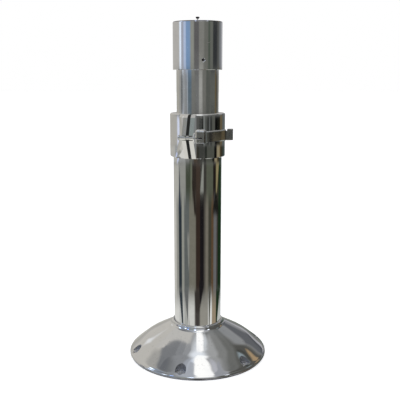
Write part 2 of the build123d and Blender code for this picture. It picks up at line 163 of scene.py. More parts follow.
# Upright flags and light strips in rows at the heights that each part mirrors:
# row: name, height from, to, softness, [(what, azimuth from, to, softness, level)]
ROWS = [
    ("near_floor", -97, -35, 7, [
        ("pale floor", -180, -152, 8, (190, 189, 185)),
        ("dark chair", -152, -128, 6, (66, 68, 71)),
        ("floor", -128, -100, 8, (140, 141, 140)),
        ("pale floor", -100, -8, 10, (206, 205, 199)),
        ("rug", -8, 12, 6, (138, 136, 131)),
        ("pale floor", 12, 50, 8, (206, 205, 200)),
        ("dark leg", 50, 70, 5, (52, 53, 51)),
        ("floor", 70, 98, 6, (160, 160, 157)),
        ("brown", 98, 112, 5, (92, 80, 66)),
        ("floor", 112, 135, 6, (184, 184, 180)),
        ("black flag", 135, 153, 5, (44, 46, 48)),
        ("grey", 153, 176, 8, (132, 133, 133)),
    ]),
    ("head", -0.6, 4.9, 0.8, [
        ("pale wall", -180, -93, 6, (174, 172, 169)),
        ("window strip", -91, -82, 2.5, (226, 238, 255)),
        ("wall", -82, -68, 4, (156, 161, 175)),
        ("window", -68, -56, 4, (172, 187, 215)),
        ("blue cloth", -56, -34, 5, (118, 146, 182)),
        ("wall", -34, -16, 6, (137, 139, 133)),
        ("dark flag", -16, 6, 4, (91, 90, 91)),
        ("grey wall", 6, 29, 4, (121, 121, 117)),
        ("grey wall", 29, 51, 8, (102, 103, 98)),
        ("flag", 51, 60, 4, (74, 82, 74)),
        ("grey wall", 60, 75, 4, (97, 99, 94)),
        ("black flag", 75, 100, 6, (49, 51, 53)),
        ("flag", 100, 124, 20, (84, 85, 84)),
        ("wall", 124, 140, 6, (122, 125, 129)),
        ("pale wall", 140, 173, 8, (165, 165, 170)),
    ]),
    ("column", -4.1, -0.1, 0.7, [
        ("pale wall", -180, -118, 8, (163, 161, 154)),
        ("wall", -118, -102, 5, (147, 147, 146)),
        ("flag", -102, -89, 3, (100, 103, 105)),
        ("wall", -89, -68, 5, (144, 147, 150)),
        ("wall", -68, -61, 3, (124, 126, 128)),
        ("light strip", -61, -54, 2.5, (152, 158, 165)),
        ("blue cloth", -54, -34, 4, (88, 103, 114)),
        ("wall", -34, -10, 6, (112, 113, 111)),
        ("wall", -10, 7.5, 5, (113, 114, 114)),
        ("light strip", 7.5, 24, 4, (160, 160, 157)),
        ("wall", 26, 46, 6, (110, 110, 106)),
        ("flag", 46, 72, 6, (86, 88, 84)),
        ("wall", 72, 110, 6, (92, 94, 90)),
        ("wood", 110, 119, 4, (96, 84, 60)),
        ("flag", 119, 134, 5, (76, 74, 66)),
        ("wall", 134, 172, 8, (120, 120, 116)),
    ]),
    ("collar", -6.7, -4.1, 0.4, [
        ("pale wall", -180, -95, 6, (168, 166, 160)),
        ("window strip", -92, -82, 3, (205, 212, 232)),
        ("wall", -82, -40, 8, (132, 133, 132)),
        ("wall", -40, -14, 6, (96, 97, 94)),
        ("dark flag", -14, -3, 4, (44, 44, 41)),
        ("flag", -3, 6, 4, (80, 80, 78)),
        ("dark flag", 6, 22.5, 3, (58, 60, 58)),
        ("light strip", 25, 31, 3, (112, 115, 113)),
        ("grey strip", 31, 39.5, 3, (76, 78, 75)),
        ("dark flag", 39.5, 62.5, 3, (50, 52, 50)),
        ("grey strip", 62.5, 77, 3, (82, 83, 78)),
        ("black flag", 77, 90, 3, (12, 12, 12)),
        ("dark flag", 90, 107, 4, (26, 27, 22)),
        ("wood", 107, 125, 4, (96, 86, 66)),
        ("green shade", 125, 148, 5, (86, 92, 92)),
        ("wall", 148, 172, 6, (120, 122, 122)),
    ]),
    ("collar_low", -8.2, -6.7, 0.3, [
        ("pale wall", -180, -110, 6, (174, 173, 168)),
        ("wall", -110, -60, 6, (150, 152, 152)),
        ("wall", -60, -40, 6, (132, 133, 132)),
        ("wall", -40, -16, 6, (96, 97, 94)),
        ("brown", -16, -1, 4, (74, 64, 53)),
        ("dark flag", -1, 6, 3, (50, 50, 46)),
        ("flag", 6, 31, 4, (61, 62, 59)),
        ("dark flag", 31, 39, 3, (36, 39, 35)),
        ("grey strip", 39, 73, 3, (73, 75, 69)),
        ("black flag", 74, 86, 3, (8, 8, 8)),
        ("wood", 89, 105, 4, (140, 130, 106)),
        ("wood", 105, 110, 3, (110, 96, 64)),
        ("dark wood", 108, 130, 5, (54, 50, 40)),
        ("green shade", 130, 148, 5, (50, 62, 58)),
        ("wall", 148, 172, 6, (120, 122, 122)),
    ]),
    ("tube_top", -13.2, -8.2, 0.8, [
        ("pale floor", -180, -105, 6, (171, 170, 164)),
        ("floor", -105, -58, 8, (139, 140, 135)),
        ("dark leg", -58, -34, 4, (64, 70, 58)),
        ("light line", -34, -25.5, 3, (98, 102, 88)),
        ("black leg", -25.5, -7, 3, (46, 40, 36)),
        ("brown leg", -7, 12, 4, (62, 52, 45)),
        ("dark flag", 12, 42, 3, (57, 56, 52)),
        ("rug", 42, 80, 5, (82, 86, 74)),
        ("black leg", 80, 94, 4, (32, 26, 24)),
        ("dark flag", 94, 122, 5, (52, 50, 40)),
        ("green shade", 122, 146, 6, (30, 48, 32)),
        ("wall", 146, 172, 8, (90, 98, 90)),
    ]),
    ("tube_mid", -20.2, -11.4, 2.2, [
        ("pale floor", -180, -128, 6, (187, 185, 179)),
        ("floor", -126, -104, 10, (144, 144, 138)),
        ("navy line", -104, -82, 6, (42, 50, 56)),
        ("floor", -84, -69, 4, (142, 143, 136)),
        ("grey rug", -69, -42, 6, (92, 96, 95)),
        ("rug", -42, -8, 6, (112, 110, 100)),
        ("brown leg", -8, 12, 4, (50, 40, 35)),
        ("black leg", 12, 29, 3, (26, 24, 26)),
        ("floor", 36, 57, 16, (112, 108, 98)),
        ("flag", 54, 71, 7, (62, 61, 52)),
        ("wood line", 71, 84, 4, (86, 68, 50)),
        ("grey strip", 84, 106, 4, (98, 98, 99)),
        ("flag", 106, 118, 4, (56, 54, 50)),
        ("green shade", 118, 150, 6, (22, 42, 24)),
        ("wall", 150, 172, 8, (90, 104, 92)),
    ]),
    ("tube_low", -37, -20.2, 2.6, [
        ("pale floor", -180, -103, 6, (206, 206, 202)),
        ("floor", -103, -69, 5, (190, 191, 188)),
        ("grey floor", -69, -48, 5, (166, 167, 163)),
        ("pale floor", -48, -14, 6, (200, 200, 196)),
        ("dark leg", -14, 12, 6, (84, 80, 76)),
        ("grey floor", 12, 54, 5, (142, 140, 132)),
        ("light strip", 54, 76, 4, (216, 217, 214)),
        ("wood", 76, 104, 4, (146, 133, 112)),
        ("flag", 104, 112, 3, (84, 84, 78)),
        ("pale floor", 112, 172, 6, (180, 184, 180)),
    ]),
]

# tapered things on the floor: name, (azimuth, height, half width) at one end, the same at the other,
# softness, level
STRIPS = [
    ("collar_line", (50.9, -6.6, 2.4), (50.9, -4.1, 2.4), 2, (92, 94, 94)),
    ("collar_gap", (20.4, -6.6, 2.2), (20.4, -4.1, 2.2), 1.5, (24, 26, 24)),
    ("window_foot", (-114, -8.2, 5), (-86, -7.0, 4), 3, (196, 206, 238)),
    ("navy_rim", (-101, 6, 6), (-99, 16, 6), 3, (46, 56, 86)),
    ("opening_edge", (-112, 50, 18.5), (-112, 66, 15), 2, (119, 121, 124)),
    ("opening_tip", (-110, 66, 16.5), (-112, 74, 17), 2, (132, 134, 137)),
    ("opening_tip_b", (-112, 74, 17), (-119, 80, 19.5), 3, (144, 146, 149)),
    ("light_left", (-26, 76, 11), (-22, 49, 24), 8, (166, 170, 178)),
    ("light_right", (60, 66, 14), (44, 42, 18), 8, (150, 152, 158)),
    ("lamp_c", (55, 36, 4), (55, 44, 4), 3, (390, 400, 420)),
    ("lamp_d", (-13, 34, 6), (-11, 49, 4), 3, (330, 350, 390)),
    ("navy_foot", (-93, -19.6, 11), (-78, -22.9, 3), 4, (48, 56, 62)),
    ("grey_foot", (-58, -19.4, 12), (-50, -22.2, 1.0), 5, (96, 98, 98)),
    ("grey_foot_b", (-43, -22.0, 1.0), (-41, -23.6, 3.0), 3, (140, 141, 140)),
    ("dark_foot", (5, -19.6, 20), (-1, -21.6, 8), 6, (54, 49, 47)),
    ("dark_foot_b", (-1, -21.6, 8), (0, -23.8, 5), 6, (64, 60, 58)),
    ("black_foot", (20, -18.8, 13), (14, -20.8, 2), 4, (28, 26, 28)),
    ("line_foot", (62, -19.5, 6), (60, -23.4, 1.6), 3, (80, 80, 74)),
    ("right_foot", (124, -19.4, 18), (106, -22.8, 2), 5, (26, 44, 28)),
    ("navy_top", (-97, -12.6, 7.5), (-96, -8.6, 0.8), 3, (46, 54, 66)),
    ("light_top", (20, -10.9, 8.5), (26, -8.3, 3.0), 4, (136, 138, 132)),
    ("straw_top", (103, -11.0, 3.0), (111, -8.2, 12.0), 5, (136, 126, 92)),
    ("dark_shoulder", (-9, -12.9, 5), (-22, -9.8, 6), 5, (44, 38, 34)),
    ("left_mid", (-44, -17.6, 2), (-46, -14.6, 6), 5, (132, 133, 128)),
    ("black_right", (100, -12.8, 26), (100, -10.9, 6), 8, (26, 26, 24)),
]


def level(c):
    """screen level to a linear colour, brightened for what the metal itself takes away"""
    out = []
    for v in c:
        v = v / 255.0
        out.append((v / 12.92 if v <= 0.04045 else ((v + 0.055) / 1.055) ** 2.4) / 0.88)
    return (out[0], out[1], out[2], 1.0)


world = bpy.data.worlds.new("studio")
scene.world = world
world.use_nodes = True
g = Graph(world.node_tree)
tc = g.add("ShaderNodeTexCoord")
sep = g.add("ShaderNodeSeparateXYZ")
g.put(sep.inputs[0], tc.outputs["Generated"])
az = g.math("MULTIPLY", g.math("ARCTAN2", sep.outputs[0], g.math("MULTIPLY", sep.outputs[1], -1.0)), 180 / pi)
el = g.math("MULTIPLY", g.math("ARCSINE", sep.outputs[2]), 180 / pi)


def within(v, a, b, soft):
    """1 between a and b, 0 outside, with soft edges"""
    d = g.math("ABSOLUTE", g.math("SUBTRACT", v, (a + b) / 2.0))
    return g.remap(d, (b - a) / 2.0 - soft / 2.0, (b - a) / 2.0 + soft / 2.0, 1.0, 0.0)


def within_az(a, b, soft):
    d = g.math("ABSOLUTE", g.math("WRAP", g.math("SUBTRACT", az, (a + b) / 2.0), 180.0, -180.0))
    return g.remap(d, (b - a) / 2.0 - soft / 2.0, (b - a) / 2.0 + soft / 2.0, 1.0, 0.0)


col = g.mix(g.remap(el, -40, 80, 0.0, 1.0), level((92, 92, 90)), level((148, 148, 150)))
for name, a0, a1, soft, e0, e1, esoft, tone, cover in PANELS:
    f = within(el, e0, e1, esoft)
    if a1 - a0 < 360:
        f = g.math("MULTIPLY", f, within_az(a0, a1, soft))
    if cover != 1.0:
        f = g.math("MULTIPLY", f, cover)
    col = g.mix(f, col, level(tone))
pos_az = g.math("MULTIPLY_ADD", az, 1 / 360.0, 0.5)
for name, e0, e1, esoft, things in ROWS:
    ramp = g.add("ShaderNodeValToRGB")
    ramp.color_ramp.interpolation = "LINEAR"
    g.put(ramp.inputs[0], pos_az)
    stops = []
    for i, (what, a0, a1, soft, tone) in enumerate(things):
        if i == 0:
            stops.append(((a1 - soft / 2 + 180) / 360, tone))
        else:
            stops.append(((a0 + soft / 2 + 180) / 360, tone))
            stops.append(((a1 - soft / 2 + 180) / 360, tone))
    stops.append((1.0, things[0][4]))
    els = ramp.color_ramp.elements
    els[0].position, els[0].color = stops[0][0], level(stops[0][1])
    els[1].position, els[1].color = stops[-1][0], level(stops[-1][1])
    for at, tone in stops[1:-1]:
        e = els.new(at)
        e.color = level(tone)
    col = g.mix(within(el, e0, e1, esoft), col, ramp.outputs[0])
for name, (za, ze, zw), (ya, ye, yw), soft, tone in STRIPS:
    mid = g.remap(el, ze, ye, za, ya, "LINEAR")
    half = g.remap(el, ze, ye, zw, yw, "LINEAR")
    d = g.math("ABSOLUTE", g.math("SUBTRACT", az, mid))
    f = g.remap(g.math("SUBTRACT", d, half), -soft / 2.0, soft / 2.0, 1.0, 0.0)
    f = g.math("MULTIPLY", f, within(el, min(ze, ye), max(ze, ye), 0.5))
    col = g.mix(f, col, level(tone))
lp = g.add("ShaderNodeLightPath")
bg = g.add("ShaderNodeBackground")
g.put(bg.inputs["Color"], col)
white = g.add("ShaderNodeBackground")
white.inputs["Color"].default_value = (1.0, 1.0, 1.0, 1.0)
pick = g.add("ShaderNodeMixShader")
g.put(pick.inputs[0], lp.outputs["Is Camera Ray"])
g.put(pick.inputs[1], bg.outputs[0])
g.put(pick.inputs[2], white.outputs[0])
wo = g.add("ShaderNodeOutputWorld")
g.put(wo.inputs["Surface"], pick.outputs[0])
world.cycles.sampling_method = "NONE"


# ---------------------------------------------------------------------------
# materials
# ---------------------------------------------------------------------------
def material(name):
    m = bpy.data.materials.new(name)
    m.use_nodes = True
    gr = Graph(m.node_tree)
    out = gr.add("ShaderNodeOutputMaterial")
    p = gr.add("ShaderNodeBsdfPrincipled")
    gr.put(out.inputs["Surface"], p.outputs[0])
    return m, gr, p


def place(gr):
    """object coordinates, and the angle round Z with the height, in metres"""
    t = gr.add("ShaderNodeTexCoord")
    s = gr.add("ShaderNodeSeparateXYZ")
    gr.put(s.inputs[0], t.outputs["Object"])
    ang = gr.math("ARCTAN2", s.outputs[1], s.outputs[0])
    rad = gr.math("SQRT", gr.math("ADD", gr.math("MULTIPLY", s.outputs[0], s.outputs[0]),
                                  gr.math("MULTIPLY", s.outputs[1], s.outputs[1])))
    return t.outputs["Object"], ang, rad, s.outputs[2]


def bump(gr, p, height, distance, strength=1.0):
    b = gr.add("ShaderNodeBump")
    b.inputs["Strength"].default_value = strength
    b.inputs["Distance"].default_value = distance
    gr.put(b.inputs["Height"], height)
    gr.put(p.inputs["Normal"], b.outputs[0])


def metal(name, base, dark, rough, kind="polished", aniso=0.0, bump_mm=0.002, marks=None):
    m, gr, p = material(name)
    p.inputs["Metallic"].default_value = 1.0
    pos, ang, rad, z = place(gr)
    # fine lines: round the axis when turned, along it when drawn
    if kind == "turned":
        lines = gr.noise(gr.combine(gr.math("MULTIPLY", ang, 0.25), 0.0, gr.math("MULTIPLY", z, 2600.0)), 1.0, 3.0, 0.6)
    elif kind == "drawn":
        lines = gr.noise(gr.combine(gr.math("MULTIPLY", ang, 60.0), 0.0, gr.math("MULTIPLY", z, 5.0)), 1.0, 3.0, 0.6)
    else:
        lines = gr.noise(pos, 900.0, 3.0, 0.6)
    smear = gr.noise(pos, 22.0, 3.0, 0.55, 0.6)
    fine = gr.noise(pos, 160.0, 2.0, 0.6)
    tone = gr.math("ADD", gr.math("MULTIPLY", smear, 0.6), gr.math("MULTIPLY", fine, 0.4))
    colour = gr.mix(gr.remap(tone, 0.35, 0.62, 0.0, 1.0), rgba(dark), rgba(base))
    rr = gr.math("ADD", gr.remap(smear, 0.3, 0.7, rough[0], rough[1]), gr.math("MULTIPLY", gr.math("SUBTRACT", lines, 0.5), 0.05))
    if marks:
        colour, rr = marks(gr, pos, ang, z, colour, rr)
    gr.put(p.inputs["Base Color"], colour)
    gr.put(p.inputs["Roughness"], rr)
    if aniso:
        p.inputs["Anisotropic"].default_value = aniso
        tg = gr.add("ShaderNodeTangent", direction_type="RADIAL", axis="Z")
        gr.put(p.inputs["Tangent"], tg.outputs[0])
    bump(gr, p, lines, bump_mm / 1000.0)
    return m


def across_clamp(gr, pos):
    """distances in mm across the clamp's slit and out from the axis along it"""
    s = gr.add("ShaderNodeSeparateXYZ")
    gr.put(s.inputs[0], pos)
    c, n = cos(radians(14.5)) * 1000.0, sin(radians(14.5)) * 1000.0
    u = gr.math("SUBTRACT", gr.math("MULTIPLY", s.outputs[0], c), gr.math("MULTIPLY", s.outputs[1], n))
    v = gr.math("MULTIPLY", gr.math("ADD", gr.math("MULTIPLY", s.outputs[0], n), gr.math("MULTIPLY", s.outputs[1], c)), -1.0)
    return u, v


def slit_shade(gr, pos, ang, z, colour, rr):
    """painted shade: the walls of the clamp's slit and of the tube's slot behind it are darkened to near black"""
    u, v = across_clamp(gr, pos)
    f = gr.math("MULTIPLY", gr.remap(gr.math("ABSOLUTE", u), 2.38, 2.44, 1.0, 0.0), gr.remap(v, 30.0, 31.0, 0.0, 1.0))
    f = gr.math("MULTIPLY", f, gr.remap(z, 0.3285, 0.3290, 0.0, 1.0))
    return gr.mix(f, colour, (0.012, 0.012, 0.014, 1)), gr.math("ADD", rr, gr.math("MULTIPLY", f, 0.4))


def bolt_shade(gr, pos, ang, z, colour, rr):
    """painted shade: the bolt's end and the pivot inside the lever's hub are darkened to near black"""
    u, v = across_clamp(gr, pos)
    f = gr.math("MULTIPLY", gr.remap(u, 12.6, 13.2, 0.0, 1.0), gr.remap(v, 45.0, 46.0, 0.0, 1.0))
    return gr.mix(f, colour, (0.01, 0.01, 0.01, 1)), gr.math("ADD", rr, gr.math("MULTIPLY", f, 0.3))


def cap_scratch_and_painted_light(gr, pos, ang, z, colour, rr):
    """a short pale scratch on the cap, rising to the right; also painted shade with a painted highlight at the front
    set screw's countersink, and painted shade on the cap's top outer edge
    """
    across = gr.math("MULTIPLY", gr.math("ADD", ang, pi / 2), 37.9)
    dx = gr.math("SUBTRACT", across, 16.9)
    dz = gr.math("SUBTRACT", gr.math("MULTIPLY", z, 1000.0), 500.8)
    u = gr.math("ABSOLUTE", gr.math("ADD", gr.math("MULTIPLY", dx, 0.862), gr.math("MULTIPLY", dz, 0.507)))
    v = gr.math("ABSOLUTE", gr.math("SUBTRACT", gr.math("MULTIPLY", dz, 0.862), gr.math("MULTIPLY", dx, 0.507)))
    f = gr.math("MULTIPLY", gr.remap(u, 2.4, 3.8, 1.0, 0.0), gr.remap(v, 0.3, 0.7, 1.0, 0.0))
    f = gr.math("MULTIPLY", f, 0.6)
    # the countersink of the set screw that faces the front: painted shade, with a painted highlight on its edge low on
    # its right
    sx = gr.math("SUBTRACT", across, 8.73)
    sz = gr.math("SUBTRACT", gr.math("MULTIPLY", z, 1000.0), 476.0)
    d = gr.math("SQRT", gr.math("ADD", gr.math("MULTIPLY", sx, sx), gr.math("MULTIPLY", sz, sz)))
    ring = gr.math("MULTIPLY", gr.remap(d, 2.1, 3.1, 1.0, 0.0), 0.8)
    side = gr.math("SUBTRACT", gr.math("MULTIPLY", sx, 0.5), gr.math("MULTIPLY", sz, 0.85))
    countersink_glint = gr.math("MULTIPLY", gr.math("MULTIPLY", gr.remap(d, 2.3, 2.6, 0.0, 1.0), gr.remap(d, 3.4, 3.9, 1.0, 0.0)), gr.remap(side, 1.6, 2.2, 0.0, 1.0))
    out = gr.add("ShaderNodeSeparateXYZ")
    gr.put(out.inputs[0], pos)
    rad = gr.math("SQRT", gr.math("ADD", gr.math("MULTIPLY", out.outputs[0], out.outputs[0]), gr.math("MULTIPLY", out.outputs[1], out.outputs[1])))
    # painted shade: the cap's top outer edge is darkened to a dark blue-grey, covering its bright reflection
    top = gr.math("MULTIPLY", gr.remap(z, 0.5314, 0.5319, 0.0, 1.0), gr.remap(rad, 0.0368, 0.0371, 0.0, 1.0))
    colour = gr.mix(gr.math("MAXIMUM", ring, top), colour, (0.05, 0.055, 0.10, 1))
    # the scratch and the painted highlight on the countersink's edge are both mixed to near white
    f = gr.math("MAXIMUM", f, countersink_glint)
    return gr.mix(f, colour, (0.98, 0.98, 0.98, 1)), gr.math("ADD", rr, gr.math("MULTIPLY", f, 0.5))


def lever_painted_shade_and_highlight(gr, pos, ang, z, colour, rr):
    """painted shade: a near-black line and dot on the hub's front, where the slot and the pivot hole lie; painted
    highlight: faces turned upward get a lighter colour, and are made rougher
    """
    s = gr.add("ShaderNodeSeparateXYZ")
    gr.put(s.inputs[0], pos)
    x = gr.math("MULTIPLY", s.outputs[0], 1000.0)
    h = gr.math("SUBTRACT", gr.math("MULTIPLY", z, 1000.0), 362.3)
    front = gr.remap(s.outputs[1], -0.0605, -0.0600, 1.0, 0.0)
    # painted shade of the slot and the pivot hole on the hub's front
    line = gr.math("MULTIPLY", gr.remap(gr.math("ABSOLUTE", h), 0.5, 0.8, 1.0, 0.0), gr.remap(gr.math("ABSOLUTE", gr.math("SUBTRACT", x, 0.2)), 4.2, 5.0, 1.0, 0.0))
    dx = gr.math("SUBTRACT", x, 4.4)
    dot = gr.remap(gr.math("SQRT", gr.math("ADD", gr.math("MULTIPLY", dx, dx), gr.math("MULTIPLY", h, h))), 1.6, 1.9, 1.0, 0.0)
    f = gr.math("MULTIPLY", front, gr.math("MAXIMUM", gr.math("MULTIPLY", line, 0.85), dot))
    colour = gr.mix(f, colour, (0.01, 0.01, 0.01, 1))
    # painted highlight: faces turned upward are painted lighter, and are made rougher
    geo = gr.add("ShaderNodeNewGeometry")
    gs = gr.add("ShaderNodeSeparateXYZ")
    gr.put(gs.inputs[0], geo.outputs["True Normal"])
    top = gr.remap(gs.outputs[2], 0.1, 0.4, 0.0, 1.0)
    return gr.mix(top, colour, (0.94, 0.94, 0.93, 1)), gr.math("ADD", rr, gr.math("MULTIPLY", top, 0.25))


MATS = {
    "polished_aluminium": metal("polished_aluminium", (0.88, 0.88, 0.875), (0.82, 0.82, 0.815), (0.02, 0.06), "polished", bump_mm=0.0006, marks=slit_shade),
    "satin_aluminium": metal("satin_aluminium", (0.86, 0.86, 0.85), (0.80, 0.80, 0.79), (0.07, 0.12), "drawn", bump_mm=0.0012),
    "turned_aluminium": metal("turned_aluminium", (0.88, 0.88, 0.87), (0.83, 0.83, 0.82), (0.06, 0.10), "turned", bump_mm=0.0004, marks=cap_scratch_and_painted_light),
    "cast_lever": metal("cast_lever", (0.70, 0.695, 0.685), (0.58, 0.575, 0.565), (0.08, 0.16), marks=lever_painted_shade_and_highlight),
    "stainless": metal("stainless", (0.72, 0.72, 0.70), (0.66, 0.66, 0.64), (0.12, 0.2), marks=bolt_shade),
    "bright_chrome": metal("bright_chrome", (0.92, 0.92, 0.93), (0.88, 0.88, 0.89), (0.03, 0.07)),
    "steel": metal("steel", (0.60, 0.60, 0.60), (0.54, 0.54, 0.54), (0.2, 0.3)),
    "spring_steel": metal("spring_steel", (0.22, 0.22, 0.23), (0.16, 0.16, 0.17), (0.3, 0.4)),
    "dark_steel": metal("dark_steel", (0.07, 0.07, 0.08), (0.04, 0.04, 0.05), (0.3, 0.42)),
    "brass": metal("brass", (0.78, 0.60, 0.28), (0.70, 0.52, 0.23), (0.15, 0.25)),
}


def dull(name, a, b, rough, grain):
    m, gr, p = material(name)
    pos, ang, rad, z = place(gr)
    n1 = gr.noise(pos, grain, 3.0, 0.6)
    gr.put(p.inputs["Base Color"], gr.mix(gr.remap(n1, 0.3, 0.7, 0.0, 1.0), rgba(a), rgba(b)))
    gr.put(p.inputs["Roughness"], gr.remap(n1, 0.3, 0.7, rough[0], rough[1]))
    bump(gr, p, n1, 0.00002)
    return m


MATS["black_steel"] = dull("black_steel", (0.012, 0.012, 0.013), (0.03, 0.03, 0.031), (0.35, 0.5), 300.0)
MATS["guide_plastic"] = dull("guide_plastic", (0.02, 0.02, 0.02), (0.04, 0.04, 0.04), (0.4, 0.55), 500.0)
MATS["rubber"] = dull("rubber", (0.014, 0.014, 0.014), (0.028, 0.028, 0.028), (0.6, 0.8), 600.0)



def pin_material():
    """dark button on a stem painted plain white and not metallic, a painted reflection standing in for its bright
    plating
    """
    m, gr, p = material("release_pin")
    pos, ang, rad, z = place(gr)
    n = gr.noise(pos, 600.0, 3.0, 0.6)
    stem = gr.math("MULTIPLY", gr.remap(z, 0.5369, 0.5374, 1.0, 0.0), gr.remap(z, 0.5330, 0.5336, 0.0, 1.0))
    # painted reflection: the stem is plain white and not metallic
    gr.put(p.inputs["Base Color"], gr.mix(stem, gr.mix(n, (0.03, 0.03, 0.035, 1), (0.05, 0.05, 0.055, 1)), (1.0, 1.0, 1.0, 1)))
    gr.put(p.inputs["Metallic"], gr.remap(stem, 0.0, 1.0, 1.0, 0.0))
    gr.put(p.inputs["Roughness"], gr.remap(n, 0.3, 0.7, 0.3, 0.42))
    bump(gr, p, n, 0.000004)
    return m


slot_of = {s["node"]: s["material_slot"] for s in frame["record"]["subparts"]}
for n, o in nodes.items():
    mat = MATS[slot_of[n]]
    if len(o.material_slots) == 0:
        o.data.materials.append(mat)
    for s in o.material_slots:
        s.material = mat
for s in nodes["release_pin"].material_slots:
    s.material = pin_material()

# ---------------------------------------------------------------------------
# the cast base, turned finely from its outline, with its spot faces and holes
# ---------------------------------------------------------------------------
BASE_HOLES = 6
BASE_PCR = 104.0
BASE_HOLE_R = 3.3
BASE_CBORE_R = 8.5
BASE_FLOOR = 9.2
CLAMP_AZ = -14.5


def arc3(p, q, r, n):
    """points on the circle through p, q and r, from p to r"""
    ax, ay, bx, by, cx, cy = *p, *q, *r
    d = 2 * (ax * (by - cy) + bx * (cy - ay) + cx * (ay - by))
    ux = ((ax * ax + ay * ay) * (by - cy) + (bx * bx + by * by) * (cy - ay) + (cx * cx + cy * cy) * (ay - by)) / d
    uy = ((ax * ax + ay * ay) * (cx - bx) + (bx * bx + by * by) * (ax - cx) + (cx * cx + cy * cy) * (bx - ax)) / d
    rad = hypot(ax - ux, ay - uy)
    t = [atan2(y - uy, x - ux) for x, y in (p, q, r)]
    a0, am, a1 = t
    span = (a1 - a0) % (2 * pi)
    if (am - a0) % (2 * pi) > span:
        span -= 2 * pi
    return [(ux + rad * cos(a0 + span * k / n), uy + rad * sin(a0 + span * k / n)) for k in range(n + 1)]


def spline2(pts, d0, d1, per):
    """clamped cubic spline through points, sampled per span"""
    n = len(pts)
    t = [0.0]
    for a, b in zip(pts, pts[1:]):
        t.append(t[-1] + hypot(b[0] - a[0], b[1] - a[1]))
    out = []
    slopes = []
    for k in range(2):
        y = [p[k] for p in pts]
        l0, l1 = hypot(*d0), hypot(*d1)
        s0, s1 = d0[k] / l0, d1[k] / l1
        # solve the tridiagonal system for the slopes
        a, b, c, r = [0.0] * n, [1.0] * n, [0.0] * n, [0.0] * n
        r[0], r[-1] = s0, s1
        for i in range(1, n - 1):
            h0, h1 = t[i] - t[i - 1], t[i + 1] - t[i]
            a[i], b[i], c[i] = h1, 2 * (h0 + h1), h0
            r[i] = 3 * (h0 * (y[i + 1] - y[i]) / h1 + h1 * (y[i] - y[i - 1]) / h0)
        for i in range(1, n):
            m = a[i] / b[i - 1]
            b[i] -= m * c[i - 1]
            r[i] -= m * r[i - 1]
        s = [0.0] * n
        s[-1] = r[-1] / b[-1]
        for i in range(n - 2, -1, -1):
            s[i] = (r[i] - c[i] * s[i + 1]) / b[i]
        slopes.append(s)
    for i in range(n - 1):
        h = t[i + 1] - t[i]
        for j in range(per + (i == n - 2)):
            u = j / per
            h00, h10 = 2 * u ** 3 - 3 * u ** 2 + 1, u ** 3 - 2 * u ** 2 + u
            h01, h11 = -2 * u ** 3 + 3 * u ** 2, u ** 3 - u ** 2
            out.append(tuple(h00 * pts[i][k] + h10 * h * slopes[k][i] + h01 * pts[i + 1][k] + h11 * h * slopes[k][i + 1] for k in range(2)))
    return out


def lathe(points, segments, closed=True):
    """bmesh of an r-z outline (mm) turned about Z"""
    bm = bmesh.new()
    rings = []
    for r, z in points:
        rings.append([bm.verts.new((r / 1000 * sin(2 * pi * k / segments), -r / 1000 * cos(2 * pi * k / segments), z / 1000))
                      for k in range(segments)])
    n = len(rings)
    for i in range(n if closed else n - 1):
        a, b = rings[i], rings[(i + 1) % n]
        for k in range(segments):
            k2 = (k + 1) % segments
            bm.faces.new((a[k], a[k2], b[k2], b[k]))
    bmesh.ops.recalc_face_normals(bm, faces=bm.faces)
    return bm


def to_mesh(bm, name):
    me = bpy.data.meshes.new(name)
    bm.to_mesh(me)
    bm.free()
    return me


def link(me, name):
    ob = bpy.data.objects.new(name, me)
    scene.collection.objects.link(ob)
    return ob


def stepped_post(bm, x, y, steps, n):
    """closed post of stacked radii, as a cutter: steps is [(radius, z), ...] from the bottom"""
    rings = []
    for r, z in steps:
        rings.append([bm.verts.new(((x + r * cos(2 * pi * k / n)) / 1000, (y + r * sin(2 * pi * k / n)) / 1000, z / 1000)) for k in range(n)])
    for a, b in zip(rings, rings[1:]):
        for k in range(n):
            k2 = (k + 1) % n
            bm.faces.new((a[k], a[k2], b[k2], b[k]))
    bm.faces.new(list(reversed(rings[0])))
    bm.faces.new(rings[-1])


dome_pts = [(46.0, 49.7), (54.0, 45.4), (64.0, 39.9), (74.0, 34.3), (84.0, 28.4), (94.0, 21.0), (102.0, 14.4), (107.0, 10.2), (110.6, 6.6)]
smooth = arc3((38.05, 55.8), (39.7, 57.0), (41.6, 55.0), 8)
smooth += arc3((41.6, 55.0), (42.7, 52.6), (46.0, 49.7), 8)[1:]
smooth += spline2(dome_pts, (8.0, -4.2), (1.0, -1.3), 10)[1:]
smooth += arc3((110.6, 6.6), (112.5, 3.1), (111.3, 0.5), 12)[1:]
outline = smooth + [(110.0, 0.0), (93.0, 0.0), (91.5, 1.5), (29.0, 1.5), (29.0, 12.0), (38.05, 12.0)]
base_bm = lathe(outline, 240)
base_ob = link(to_mesh(base_bm, "cast_base"), "cast_base")
cut_bm = bmesh.new()
for k in range(BASE_HOLES):
    t = radians(CLAMP_AZ + 60 * k)
    stepped_post(cut_bm, BASE_PCR * sin(t), -BASE_PCR * cos(t), [(BASE_HOLE_R, -2), (BASE_HOLE_R, BASE_FLOOR), (BASE_CBORE_R, BASE_FLOOR), (BASE_CBORE_R, 40)], 72)
    t = radians(CLAMP_AZ + 30 + 60 * k)
    stepped_post(cut_bm, 68.5 * sin(t), -68.5 * cos(t), [(17.5, -2), (17.5, 20.0)], 96)
bmesh.ops.recalc_face_normals(cut_bm, faces=cut_bm.faces)
cutter = link(to_mesh(cut_bm, "base_cutter"), "base_cutter")
mod = base_ob.modifiers.new("holes", "BOOLEAN")
mod.operation = "DIFFERENCE"
mod.solver = "EXACT"
mod.object = cutter
bpy.context.view_layer.update()
cut_me = bpy.data.meshes.new_from_object(base_ob.evaluated_get(bpy.context.evaluated_depsgraph_get()))
base_ob.modifiers.clear()
base_ob.data = cut_me
bpy.data.objects.remove(cutter)


